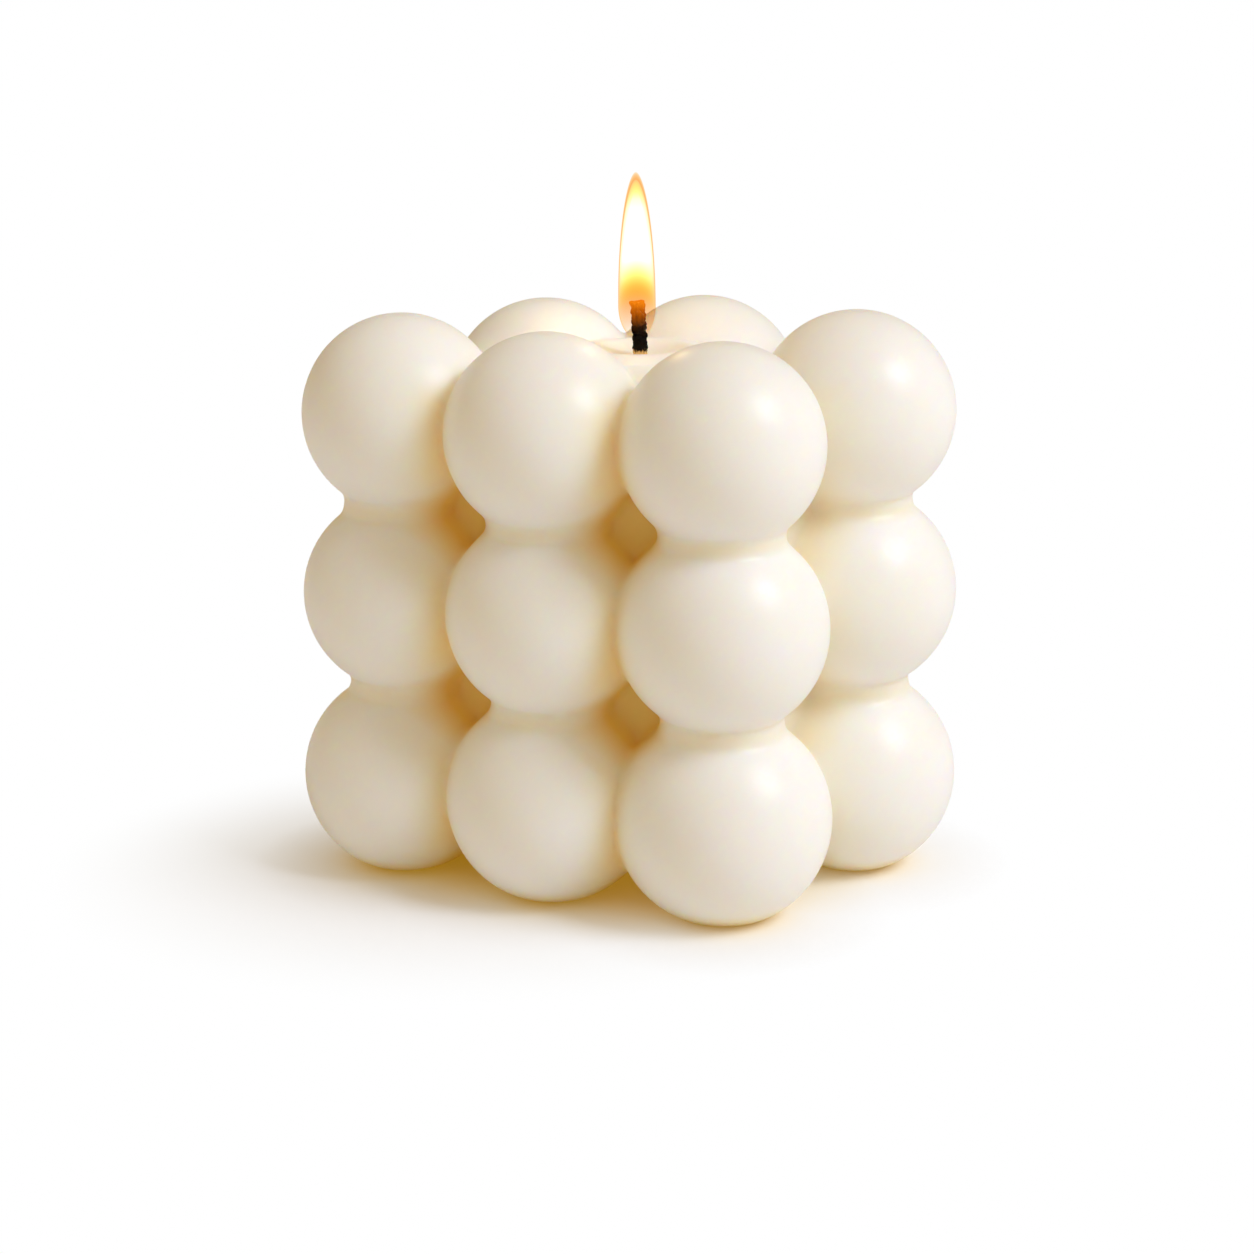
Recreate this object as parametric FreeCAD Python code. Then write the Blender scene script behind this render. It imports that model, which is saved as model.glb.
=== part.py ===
import FreeCAD, Part
import math
import os

from FreeCAD import Vector

os.makedirs("parts", exist_ok=True)

# A cast wax candle made of stacked balls in seven columns, with a lit cotton wick.
# Millimetres, +Z up. The origin is on the standing surface, halfway along the middle row.

# Balls of one column, from the base up
base_ball_diameter = 22.4
middle_ball_diameter = 22.0
top_ball_diameter = 21.2
stack_overlap = 2.4          # how far each ball sinks into the one below it
groove_fillet = 0.55         # rounding of the groove between two stacked balls
foot_depth = 0.8             # sliced off the lowest balls so that the candle stands flat
vent_flat_diameter = 1.4     # flat that the mould's air vent leaves on each outer column

# Middle row: two end columns on the X axis, and the wick's column between them
end_column_reach = 23.9
wick_column_x = 1.5

# Back row of two columns, of which the right one stands a little further back
back_left_x = -9.0
back_left_y = 11.0
back_right_x = 8.1
back_right_y = 12.2

# Front row of two columns, of which the right one stands further forward
front_left_x = -7.8
front_left_y = -9.2
front_right_x = 9.9
front_right_y = -15.4

# Wax between the columns, which closes the gaps behind the outer balls
heart_inset = 1.5            # from the line through two column axes to the wall between them
heart_margin = 0.6           # from the outermost ball centres to the heart's top and bottom

# Melted pool on top of the wick's column
lip_drop = 3.4               # from the top of the other balls down to the pool's lip
lip_radius = 3.2
pool_depth = 1.1

# Wick
wick_diameter = 1.5
wick_clearance = 0.05        # between the wick and its hole in the wax
wick_length_above_pool = 5.8
wick_tip_offset = 0.3        # how far the burning end curls over, towards -X

# Flame
flame_diameter = 3.9
flame_height_above_widest = 13.7
flame_depth_below_widest = 3.4
flame_widest_below_wick_tip = 0.5
flame_clearance = 0.3        # between the flame and the wick inside it

# Heights that follow from the balls
ball_radii = [base_ball_diameter / 2, middle_ball_diameter / 2, top_ball_diameter / 2]
ball_heights = [ball_radii[0] - foot_depth]
for below, above in zip(ball_radii, ball_radii[1:]):
    ball_heights.append(ball_heights[-1] + below + above - stack_overlap)
column_height = ball_heights[-1] + ball_radii[-1]
lip_height = column_height - lip_drop
pool_floor = lip_height - pool_depth

wick_radius = wick_diameter / 2
wick_tip_height = pool_floor + wick_length_above_pool
wick_tip_x = wick_column_x - wick_tip_offset

# Outer columns, in order round the candle
outer_columns = [
    (-end_column_reach, 0.0),
    (front_left_x, front_left_y),
    (front_right_x, front_right_y),
    (end_column_reach, 0.0),
    (back_right_x, back_right_y),
    (back_left_x, back_left_y),
]


def point(radius, height):
    """A point of a turned outline, in the XZ plane."""
    return Vector(radius, 0, height)


def line(start, end):
    return Part.makeLine(start, end)


def arc(start, through, end):
    return Part.Arc(start, through, end).toShape()


def touch(centre, radius, toward):
    """The point where a circle meets the line from its centre to another point."""
    return centre + (toward - centre).normalize() * radius


def groove_between(lower, upper):
    """Centre of the fillet that touches balls number lower and upper, and its two touching points."""
    reach_lower = ball_radii[lower] + groove_fillet
    reach_upper = ball_radii[upper] + groove_fillet
    rise = ball_heights[upper] - ball_heights[lower]
    along = (reach_lower ** 2 - reach_upper ** 2 + rise ** 2) / (2 * rise)
    outward = math.sqrt(reach_lower ** 2 - along ** 2)
    centre = point(outward, ball_heights[lower] + along)
    start = touch(point(0, ball_heights[lower]), ball_radii[lower], centre)
    end = touch(point(0, ball_heights[upper]), ball_radii[upper], centre)
    return centre, start, end


def column_outline(top_start, top_edges):
    """Closed outline of half a column: its foot, its balls and grooves up to top_start, then top_edges."""
    foot_radius = math.sqrt(ball_radii[0] ** 2 - ball_heights[0] ** 2)
    edges = [line(point(0, 0), point(foot_radius, 0))]
    here = point(foot_radius, 0)
    for number in range(len(ball_radii) - 1):
        centre, start, end = groove_between(number, number + 1)
        waist = touch(centre, groove_fillet, (start + end) * 0.5)
        edges.append(arc(here, point(ball_radii[number], ball_heights[number]), start))
        edges.append(arc(start, waist, end))
        here = end
    edges.append(arc(here, point(ball_radii[-1], ball_heights[-1]), top_start))
    edges.extend(top_edges)
    edges.append(line(edges[-1].Vertexes[-1].Point, point(0, 0)))
    return Part.Wire(edges)


def turned(outline, axis_x, axis_y):
    """Solid of an outline turned about an upright axis."""
    solid = Part.Face(outline).revolve(Vector(0, 0, 0), Vector(0, 0, 1), 360)
    solid.translate(Vector(axis_x, axis_y, 0))
    return solid


def outer_column(axis_x, axis_y):
    """A column whose top ball is whole, apart from the vent's small flat."""
    flat_radius = vent_flat_diameter / 2
    flat_height = ball_heights[-1] + math.sqrt(ball_radii[-1] ** 2 - flat_radius ** 2)
    flat_edge = point(flat_radius, flat_height)
    flat = line(flat_edge, point(0, flat_height))
    return turned(column_outline(flat_edge, [flat]), axis_x, axis_y)


def wick_column():
    """The column that burns: its top ball has melted down to a rounded lip round a shallow pool."""
    ball_centre = point(0, ball_heights[-1])
    lip_rise = lip_height - lip_radius - ball_heights[-1]
    lip_reach = math.sqrt((ball_radii[-1] - lip_radius) ** 2 - lip_rise ** 2)
    lip_centre = point(lip_reach, ball_heights[-1] + lip_rise)
    floor_rise = lip_radius - pool_depth
    pool_radius = (lip_reach ** 2 + floor_rise ** 2 - lip_radius ** 2) / (2 * pool_depth)
    pool_centre = point(0, pool_floor + pool_radius)

    lip_start = touch(ball_centre, ball_radii[-1], lip_centre)
    lip_end = touch(pool_centre, pool_radius, lip_centre)
    lip = arc(lip_start, lip_centre + point(0, lip_radius), lip_end)
    halfway_down = touch(pool_centre, pool_radius, (lip_end + point(0, pool_floor)) * 0.5)
    pool = arc(lip_end, halfway_down, point(0, pool_floor))
    return turned(column_outline(lip_start, [lip, pool]), wick_column_x, 0)


def wax_heart():
    """The wax between the columns, as a prism whose corners lie inside the outer columns."""
    bottom = ball_heights[0] + heart_margin
    top = ball_heights[-1] - heart_margin
    corners = [Vector(x, y, bottom) for x, y in outer_columns]
    ring = Part.makePolygon(corners + corners[:1])
    wall = ring.makeOffset2D(-heart_inset, join=2)
    return Part.Face(wall).extrude(Vector(0, 0, top - bottom))


def wick_line(radius, overrun):
    """Round bar up through the wax that curls over above the pool, and runs overrun past the wick's end."""
    bend_radius = (wick_length_above_pool ** 2 + wick_tip_offset ** 2) / (2 * wick_tip_offset)
    bend_centre = Vector(wick_column_x - bend_radius, 0, pool_floor)
    bend_angle = math.asin((wick_length_above_pool + overrun) / bend_radius)
    upright = Part.makeCylinder(radius, pool_floor, Vector(wick_column_x, 0, 0))
    section = Part.Face(Part.Wire(Part.makeCircle(radius, Vector(wick_column_x, 0, pool_floor))))
    curl = section.revolve(bend_centre, Vector(0, -1, 0), math.degrees(bend_angle))
    return upright.fuse(curl).removeSplitter()


def quarter_ellipse(centre, side, end):
    """Quarter of an ellipse between the ends of its two half axes, of which either may be the longer."""
    longer, shorter = sorted((side, end), key=centre.distanceToPoint, reverse=True)
    return Part.ArcOfEllipse(Part.Ellipse(longer, shorter, centre), 0, math.pi / 2).toShape()


def burning_gas():
    """Long drop of flame round the wick's end, with a pocket that clears the wick."""
    widest_height = wick_tip_height - flame_widest_below_wick_tip
    centre = point(0, widest_height)
    side = point(flame_diameter / 2, widest_height)
    tip = point(0, widest_height + flame_height_above_widest)
    base = point(0, widest_height - flame_depth_below_widest)
    outline = Part.Wire([line(tip, base), quarter_ellipse(centre, side, base), quarter_ellipse(centre, side, tip)])
    pocket = wick_line(wick_radius + flame_clearance, flame_clearance)
    return turned(outline, wick_tip_x, 0).cut(pocket)


def cast_wax():
    """All columns and the heart, poured as one, with the wick's hole drawn through."""
    columns = [outer_column(x, y) for x, y in outer_columns] + [wick_column()]
    wax = wax_heart().multiFuse(columns).removeSplitter()
    hole = Part.makeCylinder(wick_radius + wick_clearance, column_height, Vector(wick_column_x, 0, 0))
    return wax.cut(hole)


pieces = {
    "wax_body": cast_wax(),
    "wick": wick_line(wick_radius, 0),
    "flame": burning_gas(),
}
for node, solid in pieces.items():
    solid.exportStep(f"parts/{node}.step")
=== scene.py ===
import math

import bpy
import numpy as np
from mathutils import Matrix, Vector


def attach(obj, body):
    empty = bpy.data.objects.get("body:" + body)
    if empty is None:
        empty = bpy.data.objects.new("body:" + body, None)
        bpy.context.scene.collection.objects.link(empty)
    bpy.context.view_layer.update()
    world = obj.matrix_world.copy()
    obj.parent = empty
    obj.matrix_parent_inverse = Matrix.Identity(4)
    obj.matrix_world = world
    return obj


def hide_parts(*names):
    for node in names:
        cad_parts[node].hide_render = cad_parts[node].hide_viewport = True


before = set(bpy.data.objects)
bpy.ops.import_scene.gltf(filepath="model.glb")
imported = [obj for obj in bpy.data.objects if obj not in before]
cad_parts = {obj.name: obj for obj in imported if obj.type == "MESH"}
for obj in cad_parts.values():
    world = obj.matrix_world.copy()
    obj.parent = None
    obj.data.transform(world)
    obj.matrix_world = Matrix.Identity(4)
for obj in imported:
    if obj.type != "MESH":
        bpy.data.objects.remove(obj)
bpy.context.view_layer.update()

# A lit candle of fused wax balls. Blender's unit is the metre, and sizes below are in millimetres.
MM = 0.001

# Balls of one column, from the base up: radius, and height of the centre
BALLS = ((11.2, 10.4), (11.0, 30.2), (10.6, 49.4))
WICK_COLUMN = (1.5, 0.0)
OUTER_COLUMNS = {
    "left_end": (-23.9, 0.0),
    "front_left": (-7.8, -9.2),
    "front_right": (9.9, -15.4),
    "right_end": (23.9, 0.0),
    "back_right": (8.1, 12.2),
    "back_left": (-9.0, 11.0),
}

# Heart of wax between the columns: how far its wall stands inside the lines between their axes,
# and how far its ends stand inside the outermost ball centres
HEART_INSET = 0.8
HEART_MARGIN = 0.6

# Where the soft mould gave way a little: each ball's own x, height and radius, from the base up
GIVE = {
    "left_end": ((-0.34, -0.18, -0.16), (0.0, 0.13, -0.30), (0.40, 0.22, -0.09)),
    "front_left": ((0.0, 0.04, 0.06), (0.0, 0.11, -0.17), (-0.10, -0.31, -0.14)),
    "front_right": ((0.06, -0.17, 0.05), (0.0, 0.17, -0.12), (0.0, -0.32, -0.21)),
    "right_end": ((0.08, -0.16, -0.10), (0.0, 0.38, -0.11), (0.0, 0.34, -0.12)),
    "wick_column": ((0.0, 0.0, 0.0), (0.0, 0.0, 0.0), (0.0, 0.0, -0.35)),
}

# Neck of wax between two stacked balls
NECK_RADIUS = 6.1
NECK_HEIGHT = 1.2
FRONT_NECK_WIDER = 0.3

# Flat that the mould's vent leaves on each outer column
VENT_FLAT_DEPTH = 0.14

# Melted pool
LIP_HEIGHT = 56.6
LIP_ROUNDING = 2.1
POOL_FLOOR = 55.5
POOL_RINGS = 6

# Surface of the casting
BALL_SEGMENTS = 96
VOXEL = 0.36
SMOOTHING_PASSES = 3
DEEP_SMOOTHING_PASSES = 70
CASTING_TRIANGLES = 190000

# How deep in the block the seams between columns turn round, and get their painted amber shade: where
# that starts, behind the sides or below the top, and over how much more depth it becomes complete
ROUND_SEAMS = (5.0, 4.0)
PAINTED_SHADE_SEAMS = (5.0, 5.0)
PAINTED_SHADE_BEHIND_SIDES = (1.0, 4.0)
PAINTED_SHADE_BELOW_TOP = (3.5, 4.0)

# Painted amber shade on a ball's own surface, where shade falls: within this distance of the next column,
# and between columns whose axes are nearer than the wide gap. Surfaces that look down get more of this
# painted shade than those that look up: upward part of the normal, and the share that is kept.
NEXT_COLUMN_REACH = 9.0
WIDE_GAP = 21.8
WIDE_GAP_FADE = 3.0
PAINTED_SHADE_NORMALS = (-0.4, 0.6)
PAINTED_SHADE_SHARES = (0.85, 0.35)

# Painted amber shade in the grooves between stacked balls, and at the feet by the floor: share, and how far
# it reaches
GROOVE_PAINTED_SHADE = 0.4
GROOVE_REACH = 2.0
FOOT_PAINTED_SHADE = 0.7
FOOT_REACH = 2.5

# Size of the wax's cloudy patches, how far light spreads inside it, and the grain of its moulded skin
WAX_CLOUD = 9.0
LIGHT_SPREAD = 5.0
MOULD_GRAIN = 1.1

# Wick
WICK_RADIUS = 0.80
WICK_TOP = 61.3
WICK_LEAN = 0.3
WICK_FLARE = 0.12
WICK_FLARE_HEIGHT = 0.5
STRANDS = 3
STRAND_RADIUS = 0.58
STRAND_SIDES = 16
PLAIT_PITCH = 2.9
PLAIT_DEPTH = 0.6            # share of its width
PLAIT_STEP = 0.2
FIBRE_VOXEL = 0.08
FRAY_SIZE = 0.45
FRAY_HEIGHT = 0.32

# Heights between which the wick goes from clean cotton to ember, and how far the streaks move them
CHAR_ZONE = (55.0, 62.0)
CHAR_STREAKS = 1.2

# Flame, as drops one inside another: radius, tip and base of each
FLAME_X = 1.2
FLAME_WIDEST = 60.8
FLAME_TAPER = 1.12
ENVELOPE = (1.95, 74.5, 57.4)
ENVELOPE_INSIDE = (1.88, 73.75, 57.45)
GAS = (1.86, 73.65, 57.6)
CORE = (1.35, 72.6, 58.0)
GAS_DENSITY = 0.75
GAS_GLOW = 0.35
DOME_CURVE = 0.45

# Heights between which the gas changes colour, the shares of them over which it begins to glow, and the
# heights between which the core appears and turns yellow
GAS_ZONE = (57.0, 75.0)
GAS_GLOW_BEGINS = (0.38, 0.555)
CORE_APPEARS = (65.5, 68.5)
CORE_YELLOWS = (70.5, 72.6)

FLAME_LIGHT_HEIGHT = 66.0
FLAME_LIGHT_RADIUS = 1.5
FLAME_LIGHT_POWER = 0.0007

# Paper floor: how near the wax must be for the painted amber contact shadow and glow, and how sharply it
# gathers.
# The soft shadow has its middle, reach and narrowing along Y, and beyond it the paper is pure white.
FLOOR_SIZE = 6000
CONTACT_REACH = 9
CONTACT_SHARPNESS = 2.5
SHADOW_MIDDLE = (-15, -2, 0)
SHADOW_REACH = 50
SHADOW_NARROWING = (1, 1.3, 1)

# Camera, fitted to the outlines of the balls
CAMERA_PLACE = (7.91, -269.15, 101.18)
CAMERA_YAW = 1.718
CAMERA_PITCH = 15.539
CAMERA_ROLL = -0.571
CAMERA_LENS = 75
CAMERA_SENSOR = 36
CAMERA_SEES = (10, 20000)


def linear(colour):
    """An sRGB hex colour as linear red, green, blue and alpha."""
    parts = [int(colour[i:i + 2], 16) / 255 for i in (1, 3, 5)]
    return [c / 12.92 if c <= 0.04045 else ((c + 0.055) / 1.055) ** 2.4 for c in parts] + [1.0]


def add_node(material, kind, inputs=None, **settings):
    """A new node with its settings. Each input gets a value, or a link from another node's output."""
    made = material.node_tree.nodes.new(kind)
    for name, value in settings.items():
        setattr(made, name, value)
    sockets = {socket.identifier: socket for socket in made.inputs}
    for name, value in (inputs or {}).items():
        if isinstance(value, bpy.types.NodeSocket):
            material.node_tree.links.new(value, sockets[name])
        else:
            sockets[name].default_value = value
    return made


def output_of(node, identifier):
    """The output of a node that has several of the same name."""
    return next(socket for socket in node.outputs if socket.identifier == identifier)


def set_ramp(ramp, stops):
    """Gives a colour ramp its stops, each a position and an sRGB hex colour."""
    elements = ramp.color_ramp.elements
    while len(elements) < len(stops):
        elements.new(0.5)
    for element, (position, colour) in zip(elements, stops):
        element.position = position
        element.color = linear(colour)


def new_material(name):
    material = bpy.data.materials.new(name)
    material.use_nodes = True
    material.node_tree.nodes.clear()
    return material


def deselect():
    if bpy.context.object and bpy.context.object.mode != "OBJECT":
        bpy.ops.object.mode_set(mode="OBJECT")
    bpy.ops.object.select_all(action="DESELECT")


def join(pieces, name):
    """Several objects as one mesh, with its object at the origin."""
    deselect()
    for piece in pieces:
        piece.select_set(True)
    bpy.context.view_layer.objects.active = pieces[0]
    bpy.ops.object.join()
    bpy.ops.object.transform_apply(location=True, rotation=True, scale=True)
    joined = bpy.context.object
    joined.name = joined.data.name = name
    return joined


def apply_modifier(piece, name, kind, **settings):
    deselect()
    piece.select_set(True)
    bpy.context.view_layer.objects.active = piece
    modifier = piece.modifiers.new(name, kind)
    for key, value in settings.items():
        setattr(modifier, key, value)
    bpy.ops.object.modifier_apply(modifier=name)


def finish_piece(piece, material, slot, *nodes):
    """Gives a finished piece its material, and its place in the model."""
    piece.data.materials.clear()
    piece.data.materials.append(material)
    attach(piece, "root")
    if nodes:
        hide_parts(*nodes)


def wax_ball(x, y, radius, height):
    deselect()
    bpy.ops.mesh.primitive_uv_sphere_add(
        segments=BALL_SEGMENTS, ring_count=BALL_SEGMENTS // 2, radius=radius * MM,
        location=(x * MM, y * MM, height * MM))
    return bpy.context.object


def cut_level(height, keep_above):
    """Slices the active ball level and closes the cut. It stays in edit mode with the cut selected."""
    bpy.ops.object.mode_set(mode="EDIT")
    bpy.ops.mesh.select_all(action="SELECT")
    bpy.ops.mesh.bisect(
        plane_co=(0, 0, height * MM), plane_no=(0, 0, 1),
        clear_inner=keep_above, clear_outer=not keep_above, use_fill=True)


def melted_ball(x, y, radius, height):
    """The top ball of the wick's column: levelled, its rim rounded, and dished to hold the pool."""
    piece = wax_ball(x, y, radius, height)
    cut_level(LIP_HEIGHT, keep_above=False)
    bpy.ops.mesh.bevel(offset=LIP_ROUNDING * MM, segments=6, affect="EDGES")
    bpy.ops.mesh.select_all(action="DESELECT")
    bpy.ops.object.mode_set(mode="OBJECT")
    top = max(piece.data.polygons, key=lambda face: face.area)
    top.select = True
    bpy.ops.object.mode_set(mode="EDIT")
    bpy.ops.mesh.select_mode(type="FACE")
    pool_radius = math.sqrt(radius ** 2 - (LIP_HEIGHT - height) ** 2) - LIP_ROUNDING
    for ring in range(POOL_RINGS):
        fall = (LIP_HEIGHT - POOL_FLOOR) * (2 * (POOL_RINGS - ring) - 1) / POOL_RINGS ** 2
        bpy.ops.mesh.inset(thickness=pool_radius / (POOL_RINGS + 1) * MM)
        bpy.ops.transform.translate(value=(0, 0, -fall * MM))
    bpy.ops.object.mode_set(mode="OBJECT")
    return piece


def vented_ball(x, y, radius, height):
    """The top ball of an outer column, with the small flat that the mould's vent leaves."""
    piece = wax_ball(x, y, radius, height)
    cut_level(height + radius - VENT_FLAT_DEPTH, keep_above=False)
    bpy.ops.object.mode_set(mode="OBJECT")
    return piece


def neck(x, y, radius, lower, upper):
    """The wax that joins a ball to the one on top of it."""
    middle = (lower[1] + lower[0] + upper[1] - upper[0]) / 2
    deselect()
    bpy.ops.mesh.primitive_cylinder_add(
        vertices=64, radius=radius * MM, depth=NECK_HEIGHT * MM, location=(x * MM, y * MM, middle * MM))
    return bpy.context.object


def wax_column(name, x, y, top_ball):
    """Three stacked balls, of which the lowest has a flat foot, and the necks between them."""
    give = GIVE.get(name, ((0, 0, 0),) * len(BALLS))
    balls = [
        (x + aside, y, radius + wider, height + higher)
        for (radius, height), (aside, higher, wider) in zip(BALLS, give)]
    base = wax_ball(*balls[0])
    cut_level(0, keep_above=True)
    bpy.ops.object.mode_set(mode="OBJECT")
    neck_radius = NECK_RADIUS + (FRONT_NECK_WIDER if name.startswith("front") else 0)
    necks = [neck(x, y, neck_radius, lower, upper) for lower, upper in zip(BALLS, BALLS[1:])]
    return [base, wax_ball(*balls[1]), top_ball(*balls[2]), *necks]


def wax_heart():
    """The wax between the columns: a six-sided prism with its corners inside the outer columns."""
    bottom = BALLS[0][1] + HEART_MARGIN
    top = BALLS[-1][1] - HEART_MARGIN
    deselect()
    bpy.ops.mesh.primitive_circle_add(vertices=len(OUTER_COLUMNS), radius=MM, fill_type="NGON")
    piece = bpy.context.object
    for vertex, (x, y) in zip(piece.data.vertices, OUTER_COLUMNS.values()):
        vertex.co = Vector((x, y, bottom)) * MM
    bpy.ops.object.mode_set(mode="EDIT")
    bpy.ops.mesh.select_all(action="SELECT")
    bpy.ops.mesh.inset(thickness=HEART_INSET * MM)
    bpy.ops.mesh.select_all(action="INVERT")
    bpy.ops.mesh.delete(type="VERT")
    bpy.ops.mesh.select_all(action="SELECT")
    bpy.ops.mesh.extrude_region_move(TRANSFORM_OT_translate={"value": (0, 0, (top - bottom) * MM)})
    bpy.ops.mesh.select_all(action="SELECT")
    bpy.ops.mesh.normals_make_consistent(inside=False)
    bpy.ops.object.mode_set(mode="OBJECT")
    return piece


def places_of(piece):
    """Where a piece's vertices are, in millimetres."""
    return np.array([vertex.co for vertex in piece.data.vertices]) / MM


def rising(distance, start, stretch):
    """0 up to a start, then rising to 1 over a stretch."""
    return np.clip((distance - start) / stretch, 0, 1)


def fading(distance, reach):
    """1 at no distance, falling to 0 at the end of its reach."""
    return np.clip(1 - distance / reach, 0, 1)


def depth_between(places):
    """How deep points lie behind the block's sides and below its top, and how wide the nearest side is."""
    behind = np.full(len(places), math.inf)
    width = np.zeros(len(places))
    corners = list(OUTER_COLUMNS.values())
    for (ax, ay), (bx, by) in zip(corners, corners[1:] + corners[:1]):
        side = math.hypot(bx - ax, by - ay)
        across = ((bx - ax) * (places[:, 1] - ay) - (by - ay) * (places[:, 0] - ax)) / side + BALLS[1][0]
        width = np.where(across < behind, side, width)
        behind = np.minimum(behind, across)
    below = BALLS[-1][1] + BALLS[-1][0] - places[:, 2]
    return behind, below, width


def soften_depths(piece):
    """Rounds the seams deep between the columns, where hot wax filled them."""
    behind, below, _ = depth_between(places_of(piece))
    group = piece.vertex_groups.new(name="deep")
    for index, weight in enumerate(rising(np.minimum(behind, below), *ROUND_SEAMS)):
        if weight > 0:
            group.add([index], weight, "REPLACE")
    apply_modifier(
        piece, "soften_depths", "SMOOTH", factor=0.5, iterations=DEEP_SMOOTHING_PASSES, vertex_group="deep")


def paint_crevice_shade(piece):
    """Keeps on each vertex its share of painted amber shade, 0 to 1: most deep between columns, less in
    grooves.
    """
    places = places_of(piece)
    facing = np.array([vertex.normal for vertex in piece.data.vertices])
    to_ball = np.array([
        [np.linalg.norm(places - (x, y, height), axis=1) - radius for radius, height in BALLS]
        for x, y in [*OUTER_COLUMNS.values(), WICK_COLUMN]])
    to_column = np.sort(to_ball.min(axis=1), axis=0)
    own_column = to_ball.min(axis=1).argmin(axis=0)
    to_stacked = np.sort(to_ball, axis=1)[own_column, 1, np.arange(len(places))]
    behind, below, width = depth_between(places)
    # Painted amber shade where shade falls: near the next column, deep between columns, more on surfaces
    # that look down, in the grooves and at the feet.
    closeness = fading(to_column[1], NEXT_COLUMN_REACH) ** 2
    narrowness = rising(WIDE_GAP - width, 0, WIDE_GAP_FADE)
    downward_shade = np.interp(facing[:, 2], PAINTED_SHADE_NORMALS, PAINTED_SHADE_SHARES)
    outside = closeness * downward_shade * rising(behind, *PAINTED_SHADE_BEHIND_SIDES) * rising(below, *PAINTED_SHADE_BELOW_TOP)
    inside = rising(np.minimum(behind, below), *PAINTED_SHADE_SEAMS)
    groove_shade = GROOVE_PAINTED_SHADE * fading(to_stacked, GROOVE_REACH)
    foot_shade = FOOT_PAINTED_SHADE * fading(places[:, 2], FOOT_REACH)
    painted_shade = np.max([groove_shade, foot_shade, narrowness * outside, narrowness * inside], axis=0)
    attribute = piece.data.attributes.new("painted_crevice_shade", "FLOAT", "POINT")
    attribute.data.foreach_set("value", painted_shade)


def stand_flat(piece):
    """Presses the feet level with the standing surface."""
    for vertex in piece.data.vertices:
        vertex.co.z = max(vertex.co.z, 0)


def wax_casting():
    """All columns and the heart as one casting, with soft creases where they fused."""
    parts = [wax_heart()]
    for name, (x, y) in OUTER_COLUMNS.items():
        parts += wax_column(name, x, y, vented_ball)
    parts += wax_column("wick_column", *WICK_COLUMN, melted_ball)
    piece = join(parts, "wax_casting")
    apply_modifier(piece, "fuse", "REMESH", mode="VOXEL", voxel_size=VOXEL * MM)
    apply_modifier(piece, "soften", "SMOOTH", factor=0.5, iterations=SMOOTHING_PASSES)
    soften_depths(piece)
    apply_modifier(piece, "lighten", "DECIMATE", ratio=CASTING_TRIANGLES / (2 * len(piece.data.polygons)))
    stand_flat(piece)
    bpy.ops.object.shade_smooth()
    paint_crevice_shade(piece)
    return piece


def plait_point(height, strand):
    """Where one strand of the plait is at a height. The wick curls over above the pool."""
    turn = 2 * math.pi * (height / PLAIT_PITCH + strand / STRANDS)
    swing = WICK_RADIUS - STRAND_RADIUS
    curl = WICK_LEAN * (max(0.0, height - POOL_FLOOR) / (WICK_TOP - POOL_FLOOR)) ** 2
    return Vector((
        WICK_COLUMN[0] - curl + swing * math.sin(turn),
        WICK_COLUMN[1] + swing * PLAIT_DEPTH * math.sin(2 * turn),
        height)) * MM


def plaited_strand(strand):
    deselect()
    bpy.ops.mesh.primitive_circle_add(
        vertices=STRAND_SIDES, radius=STRAND_RADIUS * MM, fill_type="NGON", location=plait_point(0, strand))
    bpy.ops.object.mode_set(mode="EDIT")
    steps = round(WICK_TOP / PLAIT_STEP)
    heights = [WICK_TOP * step / steps for step in range(steps + 1)]
    for low, high in zip(heights, heights[1:]):
        rise = plait_point(high, strand) - plait_point(low, strand)
        bpy.ops.mesh.extrude_region_move(TRANSFORM_OT_translate={"value": rise})
    bpy.ops.mesh.select_all(action="SELECT")
    bpy.ops.mesh.normals_make_consistent(inside=False)
    bpy.ops.object.mode_set(mode="OBJECT")
    return bpy.context.object


def plaited_wick():
    """Three plaited strands, baked together, frayed at the edges and splayed at the burning end."""
    piece = join([plaited_strand(number) for number in range(STRANDS)], "plaited_wick")
    apply_modifier(piece, "bake", "REMESH", mode="VOXEL", voxel_size=FIBRE_VOXEL * MM)
    fray = bpy.data.textures.new("fray", "CLOUDS")
    fray.noise_scale = FRAY_SIZE * MM
    fray.noise_depth = 2
    apply_modifier(piece, "fray", "DISPLACE", texture=fray, strength=FRAY_HEIGHT * MM, mid_level=0.5)
    for vertex in piece.data.vertices:
        splay = 1 + WICK_FLARE * max(0.0, 1 - (WICK_TOP - vertex.co.z / MM) / WICK_FLARE_HEIGHT)
        centre = (WICK_COLUMN[0] - WICK_LEAN) * MM
        vertex.co.x = centre + (vertex.co.x - centre) * splay
    stand_flat(piece)
    bpy.ops.object.shade_smooth()
    return piece


def flame_drop(name, radius, tip, base):
    """A closed drop: a ball drawn out upwards into a tapered tip, and less far downwards."""
    deselect()
    bpy.ops.mesh.primitive_uv_sphere_add(segments=64, ring_count=64, radius=radius * MM)
    piece = bpy.context.object
    piece.name = piece.data.name = name
    for vertex in piece.data.vertices:
        rise = vertex.co.z / MM / radius
        across = math.sqrt(max(0.0, 1 - rise ** 2))
        taper = across ** (FLAME_TAPER - 1) if rise > 0 and across > 0.001 else 1.0
        reach = tip - FLAME_WIDEST if rise > 0 else FLAME_WIDEST - base
        vertex.co.x = vertex.co.x * taper + FLAME_X * MM
        vertex.co.y = vertex.co.y * taper
        vertex.co.z = (FLAME_WIDEST + rise * reach) * MM
    bpy.ops.object.shade_smooth()
    return piece


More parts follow.
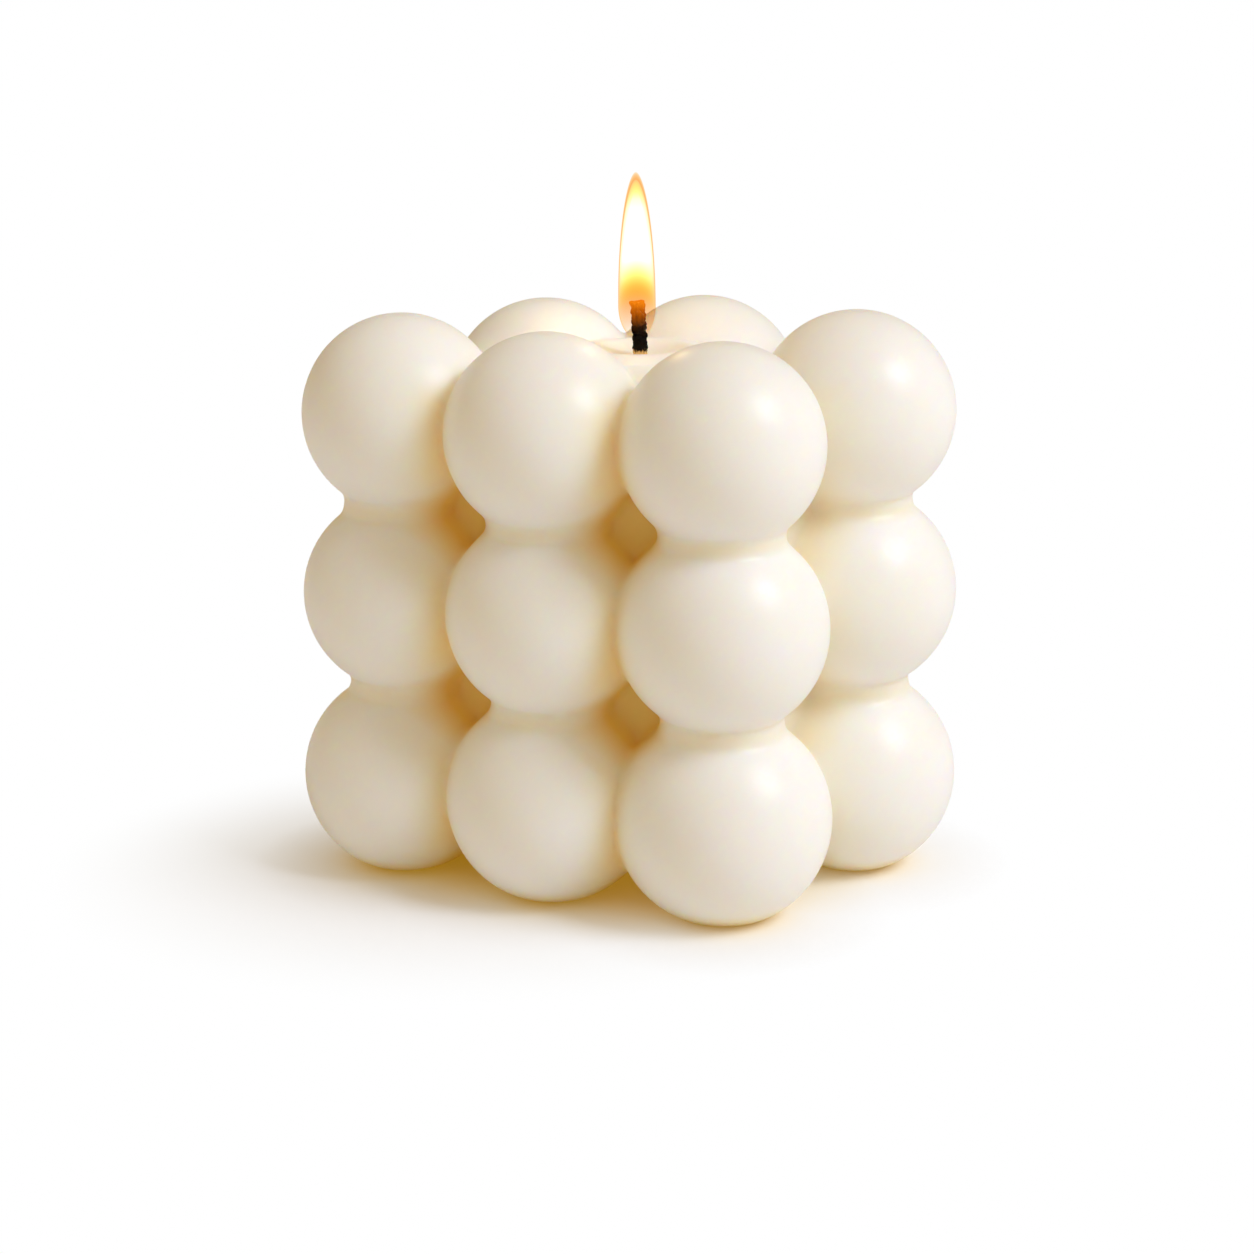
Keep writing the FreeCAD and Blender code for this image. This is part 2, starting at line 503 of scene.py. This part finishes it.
def flame_envelope():
    """The flame's outer skin: a hollow drop, thin at the sides and thicker towards the tip."""
    inside = flame_drop("flame_inside", *ENVELOPE_INSIDE)
    bpy.ops.object.mode_set(mode="EDIT")
    bpy.ops.mesh.select_all(action="SELECT")
    bpy.ops.mesh.flip_normals()
    bpy.ops.object.mode_set(mode="OBJECT")
    return join([flame_drop("flame_outside", *ENVELOPE), inside], "flame_envelope")


def wax_material():
    """Poured paraffin wax, ivory, released from a soft mould.

    Light sinks a few millimetres in and comes back warmer, so shaded sides glow; crevices and feet get
    painted amber shade from a vertex attribute. The mould leaves a satin skin with a wide, soft highlight.
    """
    material = new_material("poured_paraffin_wax")
    place = add_node(material, "ShaderNodeTexCoord").outputs["Object"]
    cloud = add_node(
        material, "ShaderNodeTexNoise", {"Vector": place, "Scale": 1 / (WAX_CLOUD * MM), "Detail": 3.0})
    ivory = add_node(
        material, "ShaderNodeMix",
        {"Factor_Float": cloud.outputs["Fac"], "A_Color": linear("#FCFAF5"), "B_Color": linear("#F9F5EC")},
        data_type="RGBA")
    # Painted shade: the amber colour below is mixed in by the vertex attribute, where shade falls in
    # crevices, grooves and at the feet.
    painted_crevice_shade = add_node(material, "ShaderNodeAttribute", attribute_name="painted_crevice_shade")
    colour = add_node(
        material, "ShaderNodeMix",
        {"Factor_Float": painted_crevice_shade.outputs["Fac"], "A_Color": output_of(ivory, "Result_Color"),
         "B_Color": linear("#FFD97E")},
        data_type="RGBA")
    grain = add_node(
        material, "ShaderNodeTexNoise", {"Vector": place, "Scale": 1 / (MOULD_GRAIN * MM), "Detail": 4.0})
    skin = add_node(
        material, "ShaderNodeBump",
        {"Height": grain.outputs["Fac"], "Strength": 0.15, "Distance": 0.05 * MM})
    wax = add_node(
        material, "ShaderNodeBsdfPrincipled",
        {"Base Color": output_of(colour, "Result_Color"), "Roughness": 0.34, "IOR": 1.44,
         "Specular IOR Level": 0.35, "Normal": skin.outputs["Normal"],
         "Subsurface Weight": 0.9, "Subsurface Radius": (1.0, 0.7, 0.35),
         "Subsurface Scale": LIGHT_SPREAD * MM})
    add_node(material, "ShaderNodeOutputMaterial", {"Surface": wax.outputs["BSDF"]})
    return material


def wick_material():
    """Plaited cotton, burnt black above the pool, with a glowing ember at its tip."""
    material = new_material("charred_cotton")
    place = add_node(material, "ShaderNodeTexCoord").outputs["Object"]
    height = add_node(material, "ShaderNodeSeparateXYZ", {"Vector": place}).outputs["Z"]
    fibres = add_node(
        material, "ShaderNodeMapping", {"Vector": place, "Scale": (1 / MM, 1 / MM, 0.25 / MM)})
    streaks = add_node(
        material, "ShaderNodeTexNoise", {"Vector": fibres.outputs["Vector"], "Scale": 5.0, "Detail": 4.0})
    shifted = add_node(
        material, "ShaderNodeMath",
        {"Value": streaks.outputs["Fac"], "Value_001": CHAR_STREAKS * MM, "Value_002": height},
        operation="MULTIPLY_ADD")
    zone = add_node(
        material, "ShaderNodeMapRange",
        {"Value": shifted.outputs["Value"], "From Min": CHAR_ZONE[0] * MM, "From Max": CHAR_ZONE[1] * MM})
    bands = add_node(material, "ShaderNodeValToRGB", {"Fac": zone.outputs["Result"]})
    set_ramp(bands, ((0.0, "#F6E6C4"), (0.225, "#E8BE78"), (0.26, "#171009"), (0.45, "#0B0603")))
    heat = add_node(material, "ShaderNodeValToRGB", {"Fac": zone.outputs["Result"]})
    set_ramp(heat, (
        (0.52, "#000000"), (0.62, "#2A1403"), (0.74, "#844406"), (0.84, "#B86208"), (0.97, "#F49418")))
    cotton = add_node(
        material, "ShaderNodeBsdfPrincipled",
        {"Base Color": bands.outputs["Color"], "Roughness": 0.9, "Specular IOR Level": 0.1,
         "Emission Color": heat.outputs["Color"], "Emission Strength": 1.0})
    add_node(material, "ShaderNodeOutputMaterial", {"Surface": cotton.outputs["BSDF"]})
    return material


def clear_gas(material):
    """A surface that neither bends nor reflects light, round a gas that tints it."""
    return add_node(
        material, "ShaderNodeBsdfPrincipled",
        {"Base Color": linear("#FFFFFF"), "Roughness": 0.0, "IOR": 1.0, "Transmission Weight": 1.0})


def envelope_material():
    """Burning vapour at the flame's skin. It soaks up blue and some green, so it looks orange edge-on."""
    material = new_material("burning_vapour_skin")
    gas = add_node(
        material, "ShaderNodeVolumeAbsorption", {"Color": linear("#FFCE00"), "Density": 1.8 / MM})
    add_node(
        material, "ShaderNodeOutputMaterial",
        {"Surface": clear_gas(material).outputs["BSDF"], "Volume": gas.outputs["Volume"]})
    return material


def gas_material():
    """Gas inside the flame: peach round the wick, an orange dome above it, then yellow and white-hot."""
    material = new_material("burning_wax_vapour")
    place = add_node(material, "ShaderNodeTexCoord").outputs["Object"]
    from_axis = add_node(
        material, "ShaderNodeVectorMath", {"Vector": place, "Vector_001": (FLAME_X * MM, 0, 0)},
        operation="SUBTRACT")
    sideways = add_node(
        material, "ShaderNodeVectorMath", {"Vector": from_axis.outputs["Vector"], "Vector_001": (1, 1, 0)},
        operation="MULTIPLY")
    square = add_node(
        material, "ShaderNodeVectorMath",
        {"Vector": sideways.outputs["Vector"], "Vector_001": sideways.outputs["Vector"]},
        operation="DOT_PRODUCT")
    height = add_node(material, "ShaderNodeSeparateXYZ", {"Vector": place}).outputs["Z"]
    level = add_node(
        material, "ShaderNodeMath",
        {"Value": square.outputs["Value"], "Value_001": DOME_CURVE / MM, "Value_002": height},
        operation="MULTIPLY_ADD")
    zone = add_node(
        material, "ShaderNodeMapRange",
        {"Value": level.outputs["Value"], "From Min": GAS_ZONE[0] * MM, "From Max": GAS_ZONE[1] * MM})
    tint = add_node(material, "ShaderNodeValToRGB", {"Fac": zone.outputs["Result"]})
    set_ramp(tint, (
        (0.08, "#FFFFFF"), (0.13, "#FFF4EC"), (0.20, "#FFEBD2"), (0.26, "#FFE2B4"), (0.30, "#FFDF70"),
        (0.335, "#FFE240"), (0.37, "#FFF160"), (0.405, "#FFFB90"), (0.455, "#FFFFD0"), (0.53, "#FFFFFF"),
        (0.80, "#FFFFFF"), (0.88, "#FFF480"), (0.95, "#FFE820")))
    gas = add_node(
        material, "ShaderNodeVolumeAbsorption",
        {"Color": tint.outputs["Color"], "Density": GAS_DENSITY / MM})
    hotness = add_node(
        material, "ShaderNodeMapRange",
        {"Value": zone.outputs["Result"], "From Min": GAS_GLOW_BEGINS[0], "From Max": GAS_GLOW_BEGINS[1],
         "To Max": GAS_GLOW / MM})
    heat = add_node(material, "ShaderNodeValToRGB", {"Fac": zone.outputs["Result"]})
    set_ramp(heat, ((0.78, "#FFFDF4"), (0.90, "#FFE050")))
    glow = add_node(
        material, "ShaderNodeEmission",
        {"Color": heat.outputs["Color"], "Strength": hotness.outputs["Result"]})
    both = add_node(
        material, "ShaderNodeAddShader",
        {"Shader": gas.outputs["Volume"], "Shader_001": glow.outputs["Emission"]})
    add_node(
        material, "ShaderNodeOutputMaterial",
        {"Surface": clear_gas(material).outputs["BSDF"], "Volume": both.outputs["Shader"]})
    return material


def core_material():
    """Glowing soot, white-hot in the middle of the flame's upper part, and yellow towards the tip."""
    material = new_material("white_hot_soot")
    place = add_node(material, "ShaderNodeTexCoord").outputs["Object"]
    height = add_node(material, "ShaderNodeSeparateXYZ", {"Vector": place}).outputs["Z"]
    presence = add_node(
        material, "ShaderNodeMapRange",
        {"Value": height, "From Min": CORE_APPEARS[0] * MM, "From Max": CORE_APPEARS[1] * MM},
        interpolation_type="SMOOTHSTEP")
    towards_tip = add_node(
        material, "ShaderNodeMapRange",
        {"Value": height, "From Min": CORE_YELLOWS[0] * MM, "From Max": CORE_YELLOWS[1] * MM})
    heat = add_node(material, "ShaderNodeValToRGB", {"Fac": towards_tip.outputs["Result"]})
    set_ramp(heat, ((0.0, "#F4F8FF"), (0.6, "#F6F8F0"), (1.0, "#FFF4A0")))
    glow = add_node(
        material, "ShaderNodeBsdfPrincipled",
        {"Base Color": linear("#000000"), "Specular IOR Level": 0.0, "Roughness": 1.0,
         "Emission Color": heat.outputs["Color"], "Emission Strength": 1.25,
         "Alpha": presence.outputs["Result"]})
    add_node(material, "ShaderNodeOutputMaterial", {"Surface": glow.outputs["BSDF"]})
    return material


def seen_directly(material):
    """1 for what the camera sees, also through the clear gas of the flame, and 0 for light on its way."""
    path = add_node(material, "ShaderNodeLightPath")
    seen = add_node(
        material, "ShaderNodeMath",
        {"Value": path.outputs["Is Camera Ray"], "Value_001": path.outputs["Is Transmission Ray"]},
        operation="MAXIMUM")
    return seen.outputs["Value"]


def floor_material():
    """Matt white paper. It shows as pure white away from the candle, and keeps the soft shadow near it.

    Near the wax's feet the paper is painted amber and glows a little: a painted warm contact shadow.
    """
    material = new_material("white_paper_sweep")
    place = add_node(material, "ShaderNodeTexCoord").outputs["Object"]
    nearness = add_node(
        material, "ShaderNodeAmbientOcclusion", {"Distance": CONTACT_REACH * MM}, samples=8)
    covered = add_node(
        material, "ShaderNodeMath", {"Value": 1.0, "Value_001": nearness.outputs["AO"]},
        operation="SUBTRACT")
    painted_contact_shade = add_node(
        material, "ShaderNodeMath",
        {"Value": covered.outputs["Value"], "Value_001": CONTACT_SHARPNESS}, operation="POWER")
    # Painted light and shade: near the wax's feet the paper is tinted amber and given a faint amber glow,
    # as a painted warm contact shadow.
    glow = add_node(
        material, "ShaderNodeEmission",
        {"Color": linear("#675710"), "Strength": painted_contact_shade.outputs["Value"]})
    painted_warm_paper = add_node(
        material, "ShaderNodeMix",
        {"Factor_Float": painted_contact_shade.outputs["Value"], "A_Color": linear("#F8F8F8"),
         "B_Color": linear("#F2DFAC")},
        data_type="RGBA")
    paper = add_node(material, "ShaderNodeBsdfDiffuse", {"Color": output_of(painted_warm_paper, "Result_Color")})
    lit_paper = add_node(
        material, "ShaderNodeAddShader",
        {"Shader": paper.outputs["BSDF"], "Shader_001": glow.outputs["Emission"]})
    white = add_node(material, "ShaderNodeEmission", {"Color": linear("#FFFFFF"), "Strength": 1.0})
    from_shadow = add_node(
        material, "ShaderNodeVectorMath",
        {"Vector": place, "Vector_001": Vector(SHADOW_MIDDLE) * MM}, operation="SUBTRACT")
    weighed = add_node(
        material, "ShaderNodeVectorMath",
        {"Vector": from_shadow.outputs["Vector"], "Vector_001": SHADOW_NARROWING}, operation="MULTIPLY")
    distance = add_node(
        material, "ShaderNodeVectorMath", {"Vector": weighed.outputs["Vector"]}, operation="LENGTH")
    fade = add_node(
        material, "ShaderNodeMapRange",
        {"Value": distance.outputs["Value"], "From Min": 0, "From Max": SHADOW_REACH * MM},
        interpolation_type="SMOOTHSTEP")
    open_fade = add_node(
        material, "ShaderNodeMath",
        {"Value": fade.outputs["Result"], "Value_001": nearness.outputs["AO"]}, operation="MULTIPLY")
    share = add_node(
        material, "ShaderNodeMath",
        {"Value": open_fade.outputs["Value"], "Value_001": seen_directly(material)}, operation="MULTIPLY")
    sheet = add_node(
        material, "ShaderNodeMixShader",
        {"Fac": share.outputs["Value"], "Shader": lit_paper.outputs["Shader"],
         "Shader_001": white.outputs["Emission"]})
    add_node(material, "ShaderNodeOutputMaterial", {"Surface": sheet.outputs["Shader"]})
    return material


def studio_floor():
    deselect()
    bpy.ops.mesh.primitive_plane_add(size=FLOOR_SIZE * MM)
    piece = bpy.context.object
    piece.name = piece.data.name = "studio_floor"
    piece.data.materials.append(floor_material())


def studio_world():
    """Even light from all round. The camera sees it as pure white."""
    world = bpy.data.worlds.new("studio")
    world.use_nodes = True
    world.node_tree.nodes.clear()
    bpy.context.scene.world = world
    fill = add_node(world, "ShaderNodeBackground", {"Color": linear("#FFE6BC"), "Strength": 0.485})
    backdrop = add_node(world, "ShaderNodeBackground", {"Color": linear("#FFFFFF"), "Strength": 1.0})
    mixed = add_node(
        world, "ShaderNodeMixShader",
        {"Fac": seen_directly(world), "Shader": fill.outputs["Background"],
         "Shader_001": backdrop.outputs["Background"]})
    add_node(world, "ShaderNodeOutputWorld", {"Surface": mixed.outputs["Shader"]})


def soft_lamp(name, direction, distance, size, power, colour):
    """A square lamp that faces the candle's middle, from a direction given as x, y and z."""
    middle = Vector((0, 0, 30 * MM))
    way = Vector(direction).normalized()
    deselect()
    bpy.ops.object.light_add(type="AREA", location=middle + way * distance * MM)
    lamp = bpy.context.object
    lamp.name = lamp.data.name = name
    lamp.rotation_euler = way.to_track_quat("Z", "Y").to_euler()
    lamp.data.size = size * MM
    lamp.data.energy = power
    lamp.data.color = linear(colour)[:3]


def flame_light():
    """The flame's own small warm light, on the pool and the inner sides of the balls round it."""
    deselect()
    bpy.ops.object.light_add(type="POINT", location=(FLAME_X * MM, 0, FLAME_LIGHT_HEIGHT * MM))
    lamp = bpy.context.object
    lamp.name = lamp.data.name = "flame_light"
    lamp.data.shadow_soft_size = FLAME_LIGHT_RADIUS * MM
    lamp.data.energy = FLAME_LIGHT_POWER
    lamp.data.color = linear("#FFD598")[:3]
    lamp.visible_camera = False
    lamp.visible_transmission = False


def studio_camera():
    bpy.ops.object.camera_add()
    made = bpy.context.object
    made.data.lens = CAMERA_LENS
    made.data.sensor_width = CAMERA_SENSOR
    made.data.clip_start, made.data.clip_end = Vector(CAMERA_SEES) * MM
    turn = (
        Matrix.Rotation(math.radians(CAMERA_YAW), 4, "Z")
        @ Matrix.Rotation(math.radians(90 - CAMERA_PITCH), 4, "X")
        @ Matrix.Rotation(math.radians(CAMERA_ROLL), 4, "Z"))
    made.matrix_world = Matrix.Translation(Vector(CAMERA_PLACE) * MM) @ turn
    bpy.context.scene.camera = made


finish_piece(wax_casting(), wax_material(), "cast_wax", "wax_body")
finish_piece(plaited_wick(), wick_material(), "cotton_wick", "wick")

envelope = flame_envelope()
gas = flame_drop("flame_gas", *GAS)
core = flame_drop("flame_core", *CORE)
finish_piece(envelope, envelope_material(), "burning_gas", "flame")
finish_piece(gas, gas_material(), "burning_gas")
finish_piece(core, core_material(), "burning_gas")
for part in (envelope, gas, core):
    part.visible_shadow = False

studio_floor()
studio_world()
soft_lamp("key_lamp", (0.668, -0.312, 0.676), distance=1500, size=600, power=15.3, colour="#E2ECFF")
soft_lamp("fill_lamp", (-0.95, -0.25, 0.25), distance=700, size=500, power=0.15, colour="#FFEFD8")
flame_light()
studio_camera()

bpy.context.scene.view_settings.view_transform = "Standard"
